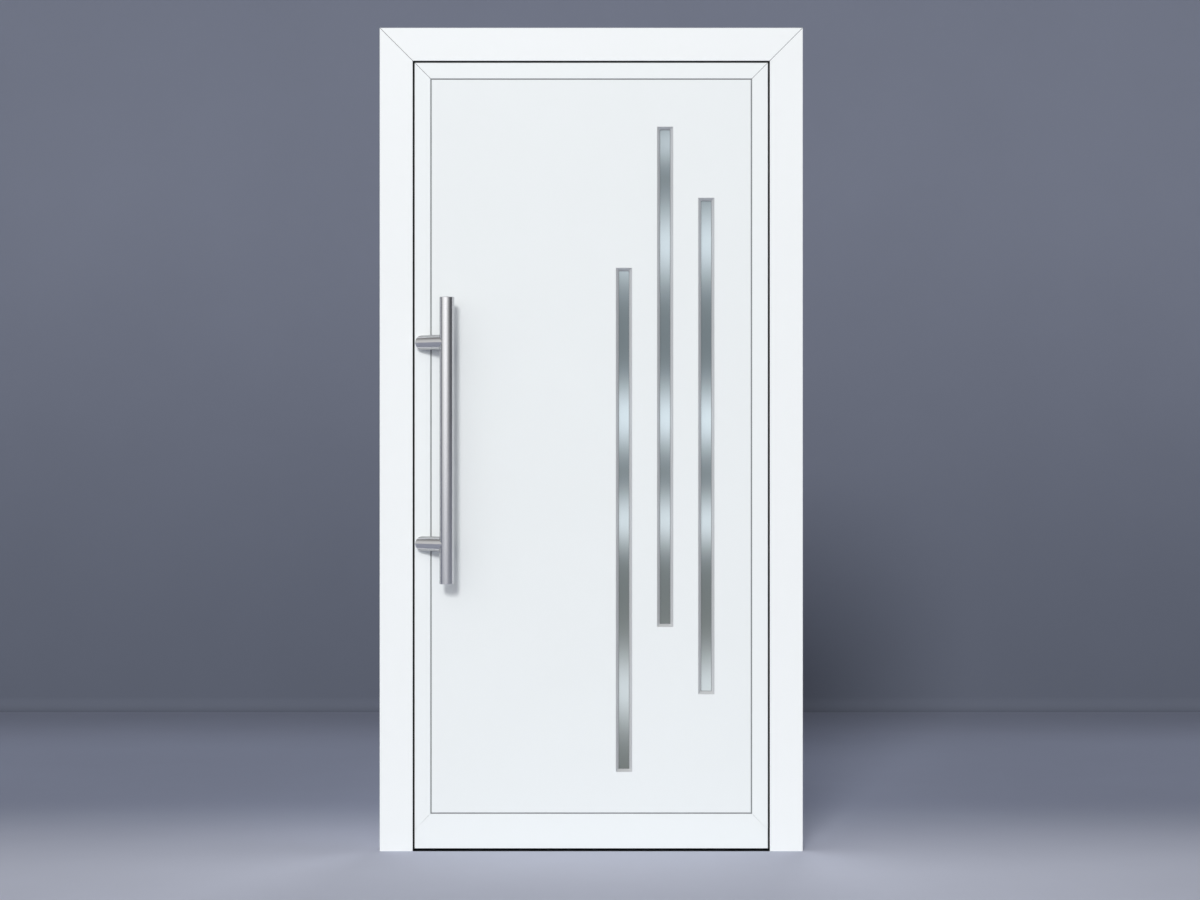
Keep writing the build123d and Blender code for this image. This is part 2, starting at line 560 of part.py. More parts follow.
# Glass strips: two panes in each unit, a spacer between them, and bevelled trims on both faces
inner_pane_front = PANEL_BACK - TRIM_DEPTH - GLASS_THICKNESS - SKIN
inner_trim_depth = PANEL_BACK - inner_pane_front - GLASS_THICKNESS
trims_inside = []
spacers = []
for strip, (middle, low, high) in GLASS_STRIPS.items():
    with BuildPart() as trim:
        with BuildSketch(facing(TRIM_DEPTH)):
            area(middle - UNIT_WIDTH / 2, middle + UNIT_WIDTH / 2, low - TRIM_FLANGE, high + TRIM_FLANGE)
        extrude(amount=TRIM_DEPTH - SKIN)
        with BuildSketch(facing(SKIN)):
            area(middle - TRIM_WIDTH / 2, middle + TRIM_WIDTH / 2, low, high)
        extrude(amount=SKIN)
        with BuildSketch(facing(0)):
            bevel_x = TRIM_WIDTH / 2 - TRIM_EDGE
            area(middle - bevel_x, middle + bevel_x, low + TRIM_EDGE, high - TRIM_EDGE)
        extrude(amount=-TRIM_BEVEL_DEPTH, taper=BEVEL_ANGLE, mode=Mode.SUBTRACT)
        with BuildSketch(facing(TRIM_DEPTH)):
            inset = TRIM_BEVEL + TRIM_EDGE
            area(middle - SIGHT_WIDTH / 2, middle + SIGHT_WIDTH / 2, low + inset, high - inset)
        extrude(amount=TRIM_DEPTH - TRIM_BEVEL_DEPTH, mode=Mode.SUBTRACT)
    write(trim.part, f"glass_trim_{strip}")

    with BuildPart() as trim_inside:
        with BuildSketch(facing(PANEL_BACK - SKIN)):
            area(middle - UNIT_WIDTH / 2, middle + UNIT_WIDTH / 2, low - TRIM_FLANGE, high + TRIM_FLANGE)
        extrude(amount=inner_trim_depth - SKIN)
        with BuildSketch(facing(PANEL_BACK)):
            area(middle - TRIM_WIDTH / 2, middle + TRIM_WIDTH / 2, low, high)
        extrude(amount=SKIN)
        with BuildSketch(facing(PANEL_BACK)):
            area(middle - bevel_x, middle + bevel_x, low + TRIM_EDGE, high - TRIM_EDGE)
        extrude(amount=TRIM_BEVEL_DEPTH, taper=BEVEL_ANGLE, mode=Mode.SUBTRACT)
        with BuildSketch(facing(PANEL_BACK - TRIM_BEVEL_DEPTH)):
            area(middle - SIGHT_WIDTH / 2, middle + SIGHT_WIDTH / 2, low + inset, high - inset)
        extrude(amount=inner_trim_depth - TRIM_BEVEL_DEPTH, mode=Mode.SUBTRACT)
    trims_inside.append(trim_inside.part)

    with BuildPart() as glass:
        for pane_back in (TRIM_DEPTH + GLASS_THICKNESS, inner_pane_front + GLASS_THICKNESS):
            with BuildSketch(facing(pane_back)):
                area(middle - UNIT_WIDTH / 2, middle + UNIT_WIDTH / 2, low - TRIM_FLANGE, high + TRIM_FLANGE)
            extrude(amount=GLASS_THICKNESS)
    write(glass.part, f"glass_{strip}")

    with BuildPart() as spacer:
        with BuildSketch(facing(inner_pane_front)):
            reach = TRIM_FLANGE
            area(middle - UNIT_WIDTH / 2, middle + UNIT_WIDTH / 2, low - reach, high + reach)
            reach = TRIM_FLANGE - SPACER_WIDTH
            open_x = UNIT_WIDTH / 2 - SPACER_WIDTH
            area(middle - open_x, middle + open_x, low - reach, high + reach, Mode.SUBTRACT)
        extrude(amount=inner_pane_front - TRIM_DEPTH - GLASS_THICKNESS)
    spacers.append(spacer.part)

with BuildPart() as glass_trims_inside:
    add(trims_inside)
write(glass_trims_inside.part, "glass_trims_inside")

with BuildPart() as glass_spacers:
    add(spacers)
write(glass_spacers.part, "glass_spacers")

# Pull handle: a round tube with flat end caps
bar_bottom = BAR_CENTRE_HEIGHT - BAR_LENGTH / 2
tube_length = BAR_LENGTH - 2 * BAR_CAP
with BuildPart() as pull_bar:
    with BuildSketch(Plane(origin=(BAR_X, BAR_Y, bar_bottom + BAR_CAP))):
        Circle(BAR_DIAMETER / 2)
        Circle(BAR_DIAMETER / 2 - BAR_WALL, mode=Mode.SUBTRACT)
    extrude(amount=tube_length)
write(pull_bar.part, "pull_bar")

with BuildPart() as pull_bar_caps:
    for cap_bottom, outer_end in ((bar_bottom, 0), (bar_bottom + BAR_LENGTH - BAR_CAP, -1)):
        with BuildSketch(Plane(origin=(BAR_X, BAR_Y, cap_bottom))):
            Circle(BAR_DIAMETER / 2)
        extrude(amount=BAR_CAP)
        chamfer(pull_bar_caps.edges().group_by(Axis.Z)[outer_end], BAR_CAP_CHAMFER)
write(pull_bar_caps.part, "pull_bar_caps")

# Supports: a short post on the lock stile and an arm mitred onto it, coped to the bar
for level, height in SUPPORT_HEIGHTS.items():
    with BuildPart() as support:
        with BuildLine() as route:
            Polyline(
                (FOOT_X, OUTSIDE_Y, height),
                (FOOT_X, OUTSIDE_Y - SUPPORT_POST, height),
                (BAR_X, BAR_Y, height),
            )
        with BuildSketch(Plane(origin=route.line @ 0, z_dir=route.line % 0)):
            Circle(SUPPORT_DIAMETER / 2)
        sweep(transition=Transition.RIGHT)
        with Locations((BAR_X, BAR_Y, height)):
            Cylinder(BAR_DIAMETER / 2 + COPE_CLEARANCE, 2 * SUPPORT_DIAMETER, mode=Mode.SUBTRACT)
    write(support.part, f"pull_support_{level}")


def draw_hinge_web(side):
    """The web from a hinge plate to its knuckle, in plan; side is 1 on the frame and -1 on the leaf."""
    plate_edge = side * (HINGE_PLATE_OFFSET + HINGE_PLATE)
    points = (
        (-side * KNUCKLE_RADIUS * 0.1, -KNUCKLE_RADIUS * 0.95),
        (side * KNUCKLE_RADIUS / 2, -HINGE_STANDOFF),
        (plate_edge, -HINGE_STANDOFF),
        (plate_edge, -HINGE_STANDOFF + HINGE_PLATE),
        (side * KNUCKLE_RADIUS * 0.9, -KNUCKLE_RADIUS / 4),
    )
    Polygon(*points, align=None)


def draw_hinge_plate(side, width):
    """A hinge plate in plan, flat on the frame or the leaf."""
    near = HINGE_PLATE_OFFSET
    left, right = sorted((side * near, side * (near + width)))
    area(left, right, -HINGE_STANDOFF, -HINGE_STANDOFF + HINGE_PLATE)


def hinge_plan(height):
    """The plane across a hinge at a height, with its origin on the pin's axis."""
    return Plane(origin=(HINGE_X, HINGE_Y, height))


# Barrel hinges inside: two knuckles on the frame, one between them on the leaf
end_knuckle = (HINGE_LENGTH - HINGE_MIDDLE_KNUCKLE) / 2 - KNUCKLE_GAP
pins = []
for level, height in HINGE_HEIGHTS.items():
    hinge_bottom = height - HINGE_LENGTH / 2
    with BuildPart() as frame_leaf:
        with BuildSketch(hinge_plan(hinge_bottom)):
            draw_hinge_plate(1, FRAME_PLATE_WIDTH)
        extrude(amount=HINGE_LENGTH)
        for knuckle_bottom in (hinge_bottom, hinge_bottom + HINGE_LENGTH - end_knuckle):
            with BuildSketch(hinge_plan(knuckle_bottom)):
                Circle(KNUCKLE_RADIUS)
                draw_hinge_web(1)
                Circle(PIN_DIAMETER / 2 + PIN_CLEARANCE, mode=Mode.SUBTRACT)
            extrude(amount=end_knuckle)
    write(frame_leaf.part, f"hinge_frame_part_{level}")

    with BuildPart() as door_leaf:
        with BuildSketch(hinge_plan(hinge_bottom)):
            draw_hinge_plate(-1, LEAF_PLATE_WIDTH)
        extrude(amount=HINGE_LENGTH)
        with BuildSketch(hinge_plan(height - HINGE_MIDDLE_KNUCKLE / 2)):
            Circle(KNUCKLE_RADIUS)
            draw_hinge_web(-1)
            Circle(PIN_DIAMETER / 2 + PIN_CLEARANCE, mode=Mode.SUBTRACT)
        extrude(amount=HINGE_MIDDLE_KNUCKLE)
    write(door_leaf.part, f"hinge_leaf_part_{level}")

    with BuildPart() as pin:
        with BuildSketch(hinge_plan(hinge_bottom)):
            Circle(PIN_DIAMETER / 2)
        extrude(amount=HINGE_LENGTH)
        with BuildSketch(hinge_plan(hinge_bottom + HINGE_LENGTH)):
            Circle(PIN_HEAD_DIAMETER / 2)
        extrude(amount=PIN_HEAD)
        chamfer(pin.edges().group_by(Axis.Z)[-1], PIN_HEAD / 3)
    pins.append(pin.part)

with BuildPart() as hinge_pins:
    add(pins)
write(hinge_pins.part, "hinge_pins")

# Lock edge: one long faceplate, with the bolts drawn back flush with it
face_x = -LEAF_REBATE_X - LOCK_PLATE
with BuildPart() as lock_faceplate:
    with BuildSketch(side_plane(face_x)):
        middle = (FACEPLATE_BOTTOM + FACEPLATE_TOP) / 2
        with Locations((LOCK_LINE, middle)):
            SlotOverall(FACEPLATE_TOP - FACEPLATE_BOTTOM, FACEPLATE_WIDTH, rotation=90)
        for height, length in LOCK_POINTS.values():
            with Locations((LOCK_LINE, height)):
                Rectangle(BOLT_WIDTH, length, mode=Mode.SUBTRACT)
    extrude(amount=LOCK_PLATE)
write(lock_faceplate.part, "lock_faceplate")

with BuildPart() as lock_bolts:
    with BuildSketch(side_plane(face_x)):
        for height, length in LOCK_POINTS.values():
            with Locations((LOCK_LINE, height)):
                Rectangle(BOLT_WIDTH - 2 * BOLT_CLEARANCE, length - 2 * BOLT_CLEARANCE)
    extrude(amount=LOCK_PLATE)
write(lock_bolts.part, "lock_bolts")

# Inside furniture: oval rosettes, lever and thumb turn
with BuildPart() as rosettes_inside:
    with BuildSketch(Plane.XZ.offset(-INSIDE_Y)):
        with Locations((-STILE_MIDDLE_X, LEVER_HEIGHT), (-STILE_MIDDLE_X, CYLINDER_HEIGHT)):
            SlotOverall(ROSETTE_HEIGHT, ROSETTE_WIDTH, rotation=90)
    extrude(amount=-ROSETTE_THICKNESS)
    chamfer(rosettes_inside.edges().group_by(Axis.Y)[-1], WALL)
write(rosettes_inside.part, "rosettes_inside")

rosette_back = INSIDE_Y + ROSETTE_THICKNESS
grip_front = INSIDE_Y + LEVER_STANDOFF - LEVER_GRIP_THICKNESS / 2
grip_start = -STILE_MIDDLE_X - LEVER_GRIP_HEIGHT / 2
with BuildPart() as lever_handle:
    with BuildSketch(Plane.XZ.offset(-rosette_back)):
        with Locations((-STILE_MIDDLE_X, LEVER_HEIGHT)):
            Circle(LEVER_NECK / 2)
    extrude(amount=rosette_back - grip_front)
    with BuildSketch(Plane.XZ.offset(-grip_front)):
        with Locations((grip_start + LEVER_LENGTH / 2, LEVER_HEIGHT)):
            SlotOverall(LEVER_LENGTH, LEVER_GRIP_HEIGHT)
    extrude(amount=-LEVER_GRIP_THICKNESS)
    chamfer(lever_handle.edges().group_by(Axis.Y)[-1], LEVER_GRIP_THICKNESS / 4)
write(lever_handle.part, "lever_handle")

with BuildPart() as thumb_turn:
    with BuildSketch(Plane.XZ.offset(-rosette_back)):
        with Locations((-STILE_MIDDLE_X, CYLINDER_HEIGHT)):
            Circle(THUMB_TURN_DIAMETER / 2)
    extrude(amount=-THUMB_TURN_STEM)
    with BuildSketch(Plane.XZ.offset(-rosette_back - THUMB_TURN_STEM)):
        with Locations((-STILE_MIDDLE_X, CYLINDER_HEIGHT)):
            SlotOverall(THUMB_TURN_WIDTH, THUMB_TURN_THICKNESS, rotation=90)
    extrude(amount=-THUMB_TURN_HEIGHT)
write(thumb_turn.part, "thumb_turn")
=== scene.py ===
import math

import bmesh
import bpy
from mathutils import Matrix, Vector


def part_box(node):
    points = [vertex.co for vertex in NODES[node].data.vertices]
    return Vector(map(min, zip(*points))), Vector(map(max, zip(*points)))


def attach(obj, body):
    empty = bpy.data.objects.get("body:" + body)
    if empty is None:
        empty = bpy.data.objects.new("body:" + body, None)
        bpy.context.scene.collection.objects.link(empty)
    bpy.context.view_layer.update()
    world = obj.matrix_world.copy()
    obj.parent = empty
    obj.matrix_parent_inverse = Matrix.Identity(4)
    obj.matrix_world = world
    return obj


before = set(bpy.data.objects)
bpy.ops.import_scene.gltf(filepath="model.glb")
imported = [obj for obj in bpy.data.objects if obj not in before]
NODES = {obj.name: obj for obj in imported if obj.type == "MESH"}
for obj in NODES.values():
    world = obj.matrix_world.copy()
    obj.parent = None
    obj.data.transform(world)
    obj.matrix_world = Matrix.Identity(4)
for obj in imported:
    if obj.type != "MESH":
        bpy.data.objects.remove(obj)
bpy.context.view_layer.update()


def box_of(name):
    """The lower and the upper corner of a CAD node's box."""
    return (Vector(corner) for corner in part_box(name))


# The door's own places, worked out from its frame and the widths of its profiles
FRAME_LOW, FRAME_HIGH = box_of("frame_head")
OUTSIDE_Y = FRAME_LOW.y
INSIDE_Y = FRAME_HIGH.y
DOOR_HEIGHT = FRAME_HIGH.z
DOOR_WIDTH = 2 * FRAME_HIGH.x
FRAME_FACE = 0.086
FRAME_REBATE = 0.066
SHADOW_GAP = 0.005
COVER_GAP = 0.0055
STILE_FACE = 0.041
STILE_BOX = 0.025
LEAF_BOTTOM_Z = 0.007
BOTTOM_RAIL = 0.09

LIP_INNER_X = DOOR_WIDTH / 2 - FRAME_FACE
LIP_LOWER_Z = DOOR_HEIGHT - FRAME_FACE
LEAF_EDGE_X = LIP_INNER_X - SHADOW_GAP
LEAF_TOP_Z = LIP_LOWER_Z - SHADOW_GAP
SIGHT_X = LEAF_EDGE_X - STILE_FACE
SIGHT_TOP_Z = LEAF_TOP_Z - STILE_FACE
FRAME_REBATE_X = DOOR_WIDTH / 2 - FRAME_REBATE
FRAME_REBATE_Z = DOOR_HEIGHT - FRAME_REBATE
COVER_LIP_X = FRAME_REBATE_X - COVER_GAP
COVER_LIP_Z = FRAME_REBATE_Z - COVER_GAP
BEAD_EDGE_X = LEAF_EDGE_X - STILE_BOX
BEAD_EDGE_TOP_Z = LEAF_TOP_Z - STILE_BOX
BEAD_EDGE_BOTTOM_Z = LEAF_BOTTOM_Z + BOTTOM_RAIL - (STILE_FACE - STILE_BOX)


# Shader node helpers

def new_material(name):
    """An empty node material with its output and a Principled shader."""
    material = bpy.data.materials.new(name)
    material.use_nodes = True
    tree = material.node_tree
    tree.nodes.clear()
    output = tree.nodes.new("ShaderNodeOutputMaterial")
    shader = tree.nodes.new("ShaderNodeBsdfPrincipled")
    tree.links.new(shader.outputs["BSDF"], output.inputs["Surface"])
    return material, tree, shader


def add_node(tree, kind, **values):
    """A node with some of its inputs or properties set."""
    node = tree.nodes.new(kind)
    for key, value in values.items():
        if key in node.inputs:
            node.inputs[key].default_value = value
        else:
            setattr(node, key, value)
    return node


def feed(tree, socket, value):
    """Give an input a number, a colour or another node's output."""
    if isinstance(value, (int, float, tuple)):
        socket.default_value = value
    else:
        tree.links.new(value, socket)


def math_node(tree, operation, *values):
    """A Math node whose inputs are sockets or numbers."""
    node = tree.nodes.new("ShaderNodeMath")
    node.operation = operation
    for index, value in enumerate(values):
        feed(tree, node.inputs[index], value)
    return node.outputs[0]


def mix_colours(tree, factor, first, second, blend="MIX"):
    """A colour Mix node; each input is a socket or a colour."""
    node = tree.nodes.new("ShaderNodeMix")
    node.data_type = "RGBA"
    node.blend_type = blend
    for index, value in ((0, factor), (6, first), (7, second)):
        feed(tree, node.inputs[index], value)
    return node.outputs[2]


def noise(tree, place, **values):
    """A noise texture on the object's own coordinates."""
    node = add_node(tree, "ShaderNodeTexNoise", **values)
    tree.links.new(place.outputs["Object"], node.inputs["Vector"])
    return node


def ramp(tree, value, low, high, interpolation="SMOOTHSTEP"):
    """A value that runs from 0 at the low end to 1 at the high end."""
    node = add_node(tree, "ShaderNodeMapRange", interpolation_type=interpolation)
    node.inputs["From Min"].default_value = low
    node.inputs["From Max"].default_value = high
    tree.links.new(value, node.inputs["Value"])
    return node.outputs["Result"]


def toned(tree, colour, tone):
    """A colour made lighter or darker by a factor."""
    shade = add_node(tree, "ShaderNodeCombineColor")
    for channel in range(3):
        tree.links.new(tone, shade.inputs[channel])
    return mix_colours(tree, 1.0, colour, shade.outputs[0], "MULTIPLY")


def relief(tree, height, strength, distance):
    """The normal of a bump."""
    node = add_node(tree, "ShaderNodeBump", Distance=distance)
    feed(tree, node.inputs["Strength"], strength)
    tree.links.new(height, node.inputs["Height"])
    return node.outputs["Normal"]


def rgba(red, green, blue):
    """A colour written as it looks on a screen, 0 to 255, as the linear values that a shader takes."""
    def linear(value):
        share = value / 255
        return share / 12.92 if share <= 0.04045 else ((share + 0.055) / 1.055) ** 2.4
    return (linear(red), linear(green), linear(blue), 1.0)


# Shared effects

EFFECT_OUTPUTS = {"Colour": "Color", "Roughness": "Float", "Normal": "Vector"}


def effect_group(name, **inputs):
    """A node group with its inputs, the three outputs that a shader takes, and object coordinates."""
    group = bpy.data.node_groups.new(name, "ShaderNodeTree")
    for way, sockets in (("INPUT", inputs), ("OUTPUT", EFFECT_OUTPUTS)):
        for title, kind in sockets.items():
            group.interface.new_socket(title, in_out=way, socket_type=f"NodeSocket{kind}")
    inside = group.nodes.new("NodeGroupInput")
    outside = group.nodes.new("NodeGroupOutput")
    place = group.nodes.new("ShaderNodeTexCoord")
    return group, inside.outputs, outside, place


def give(group, outside, colour, roughness, normal):
    """Link the three results of an effect."""
    for title, result in (("Colour", colour), ("Roughness", roughness), ("Normal", normal)):
        group.links.new(result, outside.inputs[title])


def powder_coat_group():
    """Baked powder coat: faint cloudiness, a fine orange peel and slightly uneven gloss."""
    group, given, outside, place = effect_group(
        "powder_coat", Colour="Color", Cloudiness="Float", Roughness="Float", Peel="Float"
    )
    clouds = noise(group, place, Scale=3.0, Detail=3.0, Roughness=0.55)
    drift = math_node(group, "SUBTRACT", clouds.outputs["Fac"], 0.5)
    drift = math_node(group, "MULTIPLY", drift, given["Cloudiness"])
    colour = toned(group, given["Colour"], math_node(group, "ADD", drift, 1.0))
    gloss = noise(group, place, Scale=40.0, Detail=2.0)
    uneven = math_node(group, "MULTIPLY_ADD", gloss.outputs["Fac"], 0.08, -0.04)
    rough = math_node(group, "ADD", uneven, given["Roughness"])
    grain = noise(group, place, Scale=900.0, Detail=2.0, Roughness=0.6)
    give(group, outside, colour, rough, relief(group, grain.outputs["Fac"], given["Peel"], 0.0002))
    return group


def brushed_group():
    """Brushed metal: fine lines, streaks of tone and gloss; Lines is how close they lie along each axis."""
    group, given, outside, place = effect_group(
        "brushed_lines", Colour="Color", Lines="Vector", Roughness="Float", Depth="Float"
    )
    stretch = group.nodes.new("ShaderNodeVectorMath")
    stretch.operation = "MULTIPLY"
    group.links.new(place.outputs["Object"], stretch.inputs[0])
    group.links.new(given["Lines"], stretch.inputs[1])
    lines = add_node(group, "ShaderNodeTexNoise", Scale=1.0, Detail=5.0, Roughness=0.7)
    group.links.new(stretch.outputs["Vector"], lines.inputs["Vector"])
    tone = math_node(group, "MULTIPLY_ADD", lines.outputs["Fac"], 0.3, 0.85)
    colour = toned(group, given["Colour"], tone)
    uneven = math_node(group, "MULTIPLY_ADD", lines.outputs["Fac"], 0.16, -0.08)
    rough = math_node(group, "ADD", uneven, given["Roughness"])
    give(group, outside, colour, rough, relief(group, lines.outputs["Fac"], given["Depth"], 0.0001))
    return group


def grain_group():
    """Moulded or extruded matt surface: a fine grain with a little dust tone."""
    group, given, outside, place = effect_group(
        "moulded_grain", Colour="Color", Dust="Color", Scale="Float", Depth="Float"
    )
    grain = noise(group, place, Detail=4.0)
    group.links.new(given["Scale"], grain.inputs["Scale"])
    dust = noise(group, place, Scale=9.0, Detail=4.0)
    mask = math_node(group, "MULTIPLY", dust.outputs["Fac"], 0.35)
    colour = mix_colours(group, mask, given["Colour"], given["Dust"])
    rough = math_node(group, "MULTIPLY_ADD", grain.outputs["Fac"], 0.25, 0.5)
    give(group, outside, colour, rough, relief(group, grain.outputs["Fac"], given["Depth"], 0.0003))
    return group


POWDER_COAT = powder_coat_group()
BRUSHED = brushed_group()
GRAIN = grain_group()


def use_group(tree, shader, group, **values):
    """Place a shared effect in a material and feed the shader from its outputs."""
    node = add_node(tree, "ShaderNodeGroup", node_tree=group)
    for key, value in values.items():
        node.inputs[key].default_value = value
    for title, target in (("Colour", "Base Color"), ("Roughness", "Roughness"), ("Normal", "Normal")):
        tree.links.new(node.outputs[title], shader.inputs[target])
    return node


# Materials

# Brush marks: many across, few along
ALONG_Z = (1500.0, 1500.0, 12.0)
ALONG_X = (12.0, 1500.0, 1500.0)
ALL_WAYS = (900.0, 900.0, 900.0)
# Painted shade on the turned sides of the bar and its arms: its near-black colour and how fast it grows
# towards the outline
RIM_SHADE_COLOUR = rgba(30, 31, 33)
RIM_SHADE_FALLOFF = 1.5

# Painted reflection in the glass, a sum of soft bright bands: middle height, spread and strength
GLASS_REFLECTION_BANDS = (
    (1.84, 0.055, 0.55),
    (1.58, 0.10, 0.85),
    (1.13, 0.085, 0.95),
    (0.86, 0.075, 0.90),
    (0.42, 0.10, 0.85),
)
GLASS_BAND_WANDER = 0.05
# Heights and tones of the painted reflection: darker and brighter tones, greyer low and bluish high
GLASS_TINT_LOW = 0.55
GLASS_TINT_HIGH = 1.1
GLASS_REFLECTION_DARK_LOW = rgba(112, 118, 116)
GLASS_REFLECTION_DARK_HIGH = rgba(104, 116, 121)
GLASS_REFLECTION_BRIGHT_LOW = rgba(218, 227, 229)
GLASS_REFLECTION_BRIGHT_HIGH = rgba(218, 232, 238)


def white_coat(name, colour, roughness=0.38, peel=0.25, cloudiness=0.02):
    """White powder coat on aluminium."""
    material, tree, shader = new_material(name)
    use_group(tree, shader, POWDER_COAT, Colour=colour, Cloudiness=cloudiness, Roughness=roughness, Peel=peel)
    shader.inputs["Specular IOR Level"].default_value = 0.4
    return material


def steel(name, colour, lines, roughness=0.3, depth=0.25, metallic=1.0, rim_shade=0.0):
    """Brushed metal; lines is how close the brush marks lie along each axis, and the rim share paints shade
    on its turned sides.
    """
    material, tree, shader = new_material(name)
    brushed = use_group(tree, shader, BRUSHED, Colour=colour, Lines=lines, Roughness=roughness, Depth=depth)
    # Painted shade: the sides that turn away from the camera are darkened towards a near-black colour
    if rim_shade:
        turned = add_node(tree, "ShaderNodeLayerWeight", Blend=0.5)
        share = math_node(tree, "POWER", turned.outputs["Facing"], RIM_SHADE_FALLOFF)
        share = math_node(tree, "MULTIPLY", share, rim_shade)
        edge = mix_colours(tree, share, brushed.outputs["Colour"], RIM_SHADE_COLOUR)
        tree.links.new(edge, shader.inputs["Base Color"])
    shader.inputs["Metallic"].default_value = metallic
    return material


def moulded(name, colour, dust, scale=600.0, depth=0.3, gloss=0.3):
    """Rubber, polyamide, sealant or foam."""
    material, tree, shader = new_material(name)
    use_group(tree, shader, GRAIN, Colour=colour, Dust=dust, Scale=scale, Depth=depth)
    shader.inputs["Specular IOR Level"].default_value = gloss
    return material


def painted_reflection_bands(tree, height):
    """How bright the painted reflection in the glass is at a height: a sum of soft bands, up to 1."""
    total = None
    for middle, spread, strength in GLASS_REFLECTION_BANDS:
        away = math_node(tree, "SUBTRACT", height, middle + GLASS_BAND_WANDER / 2)
        away = math_node(tree, "DIVIDE", away, spread)
        away = math_node(tree, "MULTIPLY", away, away)
        glow = math_node(tree, "POWER", math.e, math_node(tree, "MULTIPLY", away, -1.0))
        glow = math_node(tree, "MULTIPLY", glow, strength)
        total = glow if total is None else math_node(tree, "ADD", total, glow)
    total.node.use_clamp = True
    return total


def satin_glass_painted_reflection(name):
    """Satin glass with a painted reflection: soft bright and dark bands up the strip, bluish above and greyer
    below.
    """
    material, tree, shader = new_material(name)
    place = tree.nodes.new("ShaderNodeTexCoord")
    split = tree.nodes.new("ShaderNodeSeparateXYZ")
    tree.links.new(place.outputs["Object"], split.inputs[0])
    warp = noise(tree, place, Scale=2.2, Detail=2.0)
    height = math_node(tree, "MULTIPLY_ADD", warp.outputs["Fac"], GLASS_BAND_WANDER, split.outputs["Z"])
    up = ramp(tree, split.outputs["Z"], GLASS_TINT_LOW, GLASS_TINT_HIGH, "LINEAR")
    dark = mix_colours(tree, up, GLASS_REFLECTION_DARK_LOW, GLASS_REFLECTION_DARK_HIGH)
    bright = mix_colours(tree, up, GLASS_REFLECTION_BRIGHT_LOW, GLASS_REFLECTION_BRIGHT_HIGH)
    colour = mix_colours(tree, painted_reflection_bands(tree, height), dark, bright)
    grain = noise(tree, place, Scale=260.0, Detail=3.0).outputs["Fac"]
    frost = math_node(tree, "MULTIPLY_ADD", grain, 0.06, 0.97)
    tree.links.new(toned(tree, colour, frost), shader.inputs["Base Color"])
    tree.links.new(math_node(tree, "MULTIPLY_ADD", grain, 0.1, 0.2), shader.inputs["Roughness"])
    tree.links.new(relief(tree, grain, 0.08, 0.0003), shader.inputs["Normal"])
    shader.inputs["IOR"].default_value = 1.5
    shader.inputs["Coat Weight"].default_value = 0.4
    shader.inputs["Coat Roughness"].default_value = 0.06
    shader.inputs["Specular IOR Level"].default_value = 0.35
    return material


FRAME_WHITE = white_coat("frame_white", rgba(241, 244, 245))
LEAF_WHITE = white_coat("leaf_white", rgba(238, 242, 243))
PANEL_WHITE = white_coat("panel_white", rgba(235, 239, 240), roughness=0.42, cloudiness=0.03)
HINGE_WHITE = white_coat("hinge_white", rgba(236, 239, 240), roughness=0.33, peel=0.15)
TRIM_STEEL = steel("trim_steel", rgba(210, 212, 214), ALONG_Z, roughness=0.42, depth=0.1, metallic=0.25)
BAR_STEEL = steel("bar_steel", rgba(232, 232, 235), ALONG_Z, roughness=0.2, depth=0.12, rim_shade=0.6)
INSIDE_STEEL = steel("inside_steel", rgba(206, 207, 210), ALONG_X, roughness=0.36, depth=0.15)
ARM_STEEL = steel("arm_steel", rgba(242, 242, 244), ALONG_X, roughness=0.16, depth=0.03, rim_shade=1.0)
LOCK_STEEL = steel("lock_steel", rgba(178, 180, 184), ALONG_Z, roughness=0.36, depth=0.3)
GASKET_GREY = moulded("gasket_grey", rgba(122, 126, 128), rgba(150, 153, 154))
RUBBER_BLACK = moulded("rubber_black", rgba(20, 20, 21), rgba(36, 36, 37), gloss=0.08)
POLYAMIDE_BLACK = moulded("polyamide_black", rgba(26, 26, 28), rgba(46, 46, 48), scale=300.0)
FOAM_YELLOW = moulded("foam_core", rgba(214, 204, 170), rgba(190, 180, 150), scale=220.0, depth=0.8)
# The threshold is dark anodised, made near black as painted shade in the gap under the leaf
SILL_SHADE_BLACK = steel("sill_anodised_painted_shade", rgba(20, 20, 22), ALONG_X, roughness=0.55, depth=0.2)
SPACER_BLACK = moulded("spacer_black", rgba(34, 34, 36), rgba(52, 52, 54), scale=400.0)
GLASS = satin_glass_painted_reflection("satin_glass_painted_reflection")

HINGE_PARTS = tuple(name for name in NODES if name.startswith(("hinge_frame_part", "hinge_leaf_part")))
NODE_FINISHES = (
    (FRAME_WHITE, ("frame_jamb_lock", "frame_jamb_hinge", "frame_head")),
    (LEAF_WHITE, ("leaf_stile_lock", "leaf_stile_hinge", "leaf_rail_top", "leaf_rail_bottom")),
    (LEAF_WHITE, ("glazing_bead_lock", "glazing_bead_hinge", "glazing_bead_top", "glazing_bead_bottom")),
    (PANEL_WHITE, ("panel_outer_skin", "panel_inner_skin")),
    (TRIM_STEEL, ("glass_trim_left", "glass_trim_middle", "glass_trim_right", "glass_trims_inside")),
    (GASKET_GREY, ("panel_gasket",)),
    (RUBBER_BLACK, ("frame_seal", "drop_seal")),
    (POLYAMIDE_BLACK, ("frame_thermal_breaks", "leaf_thermal_breaks")),
    (FOAM_YELLOW, ("panel_core",)),
    (SILL_SHADE_BLACK, ("threshold",)),
    (GLASS, ("glass_left", "glass_middle", "glass_right")),
    (SPACER_BLACK, ("glass_spacers",)),
    (BAR_STEEL, ("pull_bar", "pull_bar_caps")),
    (ARM_STEEL, ("pull_support_upper", "pull_support_lower")),
    (INSIDE_STEEL, ("lever_handle", "thumb_turn", "rosettes_inside")),
    (LOCK_STEEL, ("strike_plates", "lock_faceplate", "lock_bolts", "hinge_pins")),
    (HINGE_WHITE, HINGE_PARTS),
)


